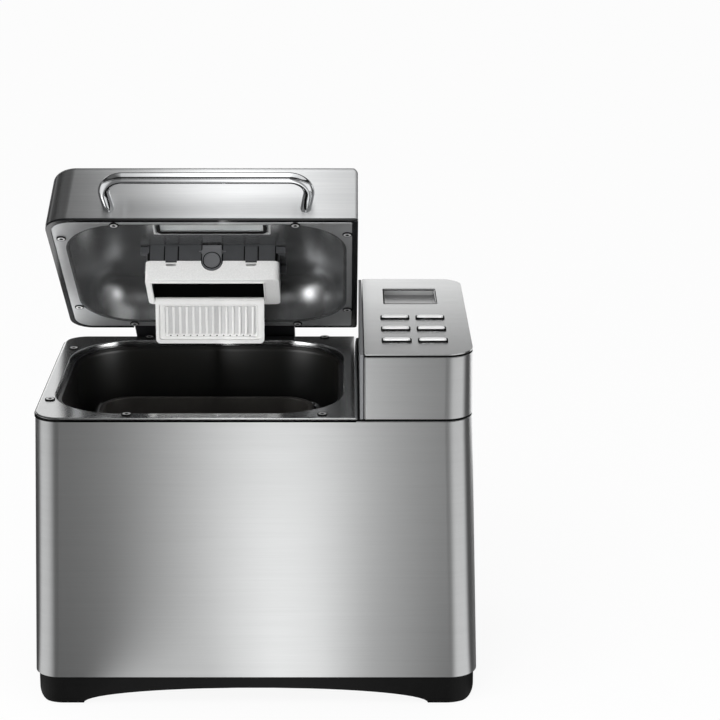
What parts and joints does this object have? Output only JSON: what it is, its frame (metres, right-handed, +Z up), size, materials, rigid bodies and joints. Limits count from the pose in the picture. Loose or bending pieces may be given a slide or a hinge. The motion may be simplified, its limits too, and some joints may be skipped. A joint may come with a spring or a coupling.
{
  "type": "bread machine",
  "caption": "Stainless bread machine with a lift-up lid holding a window and a fruit dispenser, an oven with a lift-out pan and kneading paddle, and a side pod with display and buttons.",
  "frame": {"origin": "middle of the footprint on the surface the feet stand on, with the lid open as stored", "axes": "+X to the control pod, +Y to the back, +Z up"},
  "size_m": [0.373, 0.2672, 0.4469],
  "materials": {
    "stainless": "brushed",
    "black_plastic": "fine grain",
    "foot_rubber": "matte",
    "oven_coating": "satin coating",
    "pan_coating": "non-stick coating",
    "heater_sheath": "oxidised",
    "bright_screws": "zinc plated",
    "plated_sheet": "zinc plated",
    "cast_alloy": "as cast",
    "ground_steel": "ground",
    "pulley_plastic": "moulded",
    "belt_rubber": "ribbed",
    "motor_case": "lacquered",
    "rotor_iron": "laminated",
    "circuit_board": "solder mask",
    "pod_grey": "satin",
    "bezel_silver": "satin silver",
    "display_glass": "clear over a dark display",
    "display_dark": "display module",
    "button_silver": "satin silver",
    "liner_alloy": "grey coated",
    "window_silver": "satin silver",
    "window_glass": "clear",
    "chrome_tube": "polished",
    "dispenser_dark": "moulded",
    "dispenser_silver": "bead blasted",
    "latch_grey": "moulded",
    "coil_tape": "wound coil"
  },
  "bodies": {
    "body": {"base_tray": "black_plastic", "rubber_feet": "foot_rubber", "outer_shell": "stainless", "rear_panel": "black_plastic", "top_deck": "stainless", "deck_screws": "bright_screws", "upper_frame": "black_plastic", "oven_chamber": "oven_coating", "heating_element": "heater_sheath", "heater_clips": "plated_sheet", "temperature_sensor": "plated_sheet", "pan_seat": "cast_alloy", "chassis_plate": "plated_sheet", "spindle_bearing": "cast_alloy", "drive_belt": "belt_rubber", "motor_housing": "motor_case", "motor_bracket": "plated_sheet", "power_board": "circuit_board", "mains_inlet": "black_plastic", "pod_housing": "pod_grey", "pod_panel": "stainless", "control_fascia": "stainless", "lcd_bezel": "bezel_silver", "lcd_glass": "display_glass", "lcd_module": "display_dark", "control_board": "circuit_board", "hinge_pin": "ground_steel", "hinge_bracket": "plated_sheet"},
    "lid": {"lid_cover": "stainless", "lid_frame": "black_plastic", "lid_liner": "liner_alloy", "liner_screws": "bright_screws", "window_frame": "window_silver", "window_panes": "window_glass", "lid_handle": "chrome_tube", "handle_screws": "bright_screws", "hinge_block": "black_plastic", "dispenser_housing": "dispenser_dark", "dispenser_frame": "dispenser_silver", "flap_pin": "ground_steel", "dispenser_solenoid": "coil_tape"},
    "flap": {"dispenser_flap": "dispenser_silver"},
    "latch": {"dispenser_latch": "latch_grey"},
    "menu": {"menu_button": "button_silver"},
    "colour": {"colour_button": "button_silver"},
    "loaf": {"loaf_button": "button_silver"},
    "time_up": {"time_up_button": "button_silver"},
    "time_down": {"time_down_button": "button_silver"},
    "start": {"start_button": "button_silver"},
    "pan": {"bread_pan": "pan_coating", "pan_base": "cast_alloy"},
    "bail": {"pan_handle": "ground_steel"},
    "paddle": {"paddle_shaft": "ground_steel", "kneading_paddle": "pan_coating"},
    "spindle": {"drive_spindle": "ground_steel", "drive_coupling": "cast_alloy", "driven_pulley": "pulley_plastic"},
    "rotor": {"motor_pulley": "cast_alloy", "motor_shaft": "ground_steel", "motor_rotor": "rotor_iron"}
  },
  "joints": [
    {"name": "lid_hinge", "type": "hinge", "parent": "body", "child": "lid", "pos_m": [-0.044, 0.11335, 0.246], "axis": [-1, 0, 0], "range_deg": [-38.2, 42]},
    {"name": "flap_hinge", "type": "hinge", "parent": "lid", "child": "flap", "pos_m": [-0.044, 0.06082, 0.30133], "axis": [1, 0, 0], "range_deg": [-128.2, 5]},
    {"name": "latch_pivot", "type": "hinge", "parent": "lid", "child": "latch", "pos_m": [-0.0413, 0.04218, 0.3496], "axis": [-1, 0, 0], "range_deg": [0, 6], "stiffness_Nm_per_rad": 0.1, "springref_deg": -2.86},
    {"name": "menu_press", "type": "slide", "parent": "body", "child": "menu", "axis": [0, 0, -1], "range_m": [0, 0.001], "stiffness_N_per_m": 1000, "springref_m": -0.0003},
    {"name": "colour_press", "type": "slide", "parent": "body", "child": "colour", "axis": [0, 0, -1], "range_m": [0, 0.001], "stiffness_N_per_m": 1000, "springref_m": -0.0003},
    {"name": "loaf_press", "type": "slide", "parent": "body", "child": "loaf", "axis": [0, 0, -1], "range_m": [0, 0.001], "stiffness_N_per_m": 1000, "springref_m": -0.0003},
    {"name": "time_up_press", "type": "slide", "parent": "body", "child": "time_up", "axis": [0, 0, -1], "range_m": [0, 0.001], "stiffness_N_per_m": 1000, "springref_m": -0.0003},
    {"name": "time_down_press", "type": "slide", "parent": "body", "child": "time_down", "axis": [0, 0, -1], "range_m": [0, 0.001], "stiffness_N_per_m": 1000, "springref_m": -0.0003},
    {"name": "start_press", "type": "slide", "parent": "body", "child": "start", "axis": [0, 0, -1], "range_m": [0, 0.001], "stiffness_N_per_m": 1000, "springref_m": -0.0003},
    {"name": "pan_lift", "type": "slide", "parent": "body", "child": "pan", "axis": [0, 0, 1], "range_m": [0, 0.03]},
    {"name": "bail_swing", "type": "hinge", "parent": "pan", "child": "bail", "pos_m": [-0.04725, -0.00965, 0.203], "axis": [1, 0, 0], "range_deg": [0, 180]},
    {"name": "spindle_spin", "type": "hinge", "parent": "body", "child": "spindle", "pos_m": [-0.04725, -0.00965, 0.05], "axis": [0, 0, 1], "continuous": true},
    {"name": "paddle_spin", "type": "hinge", "parent": "pan", "child": "paddle", "pos_m": [-0.04725, -0.00965, 0.08], "axis": [0, 0, 1], "continuous": true},
    {"name": "rotor_spin", "type": "hinge", "parent": "body", "child": "rotor", "pos_m": [0.128, -0.00965, 0.06], "axis": [0, 0, 1], "continuous": true}
  ],
  "couplings": [
    {"joint": "paddle_spin", "follows": "spindle_spin", "ratio": 1},
    {"joint": "rotor_spin", "follows": "spindle_spin", "ratio": 4}
  ]
}
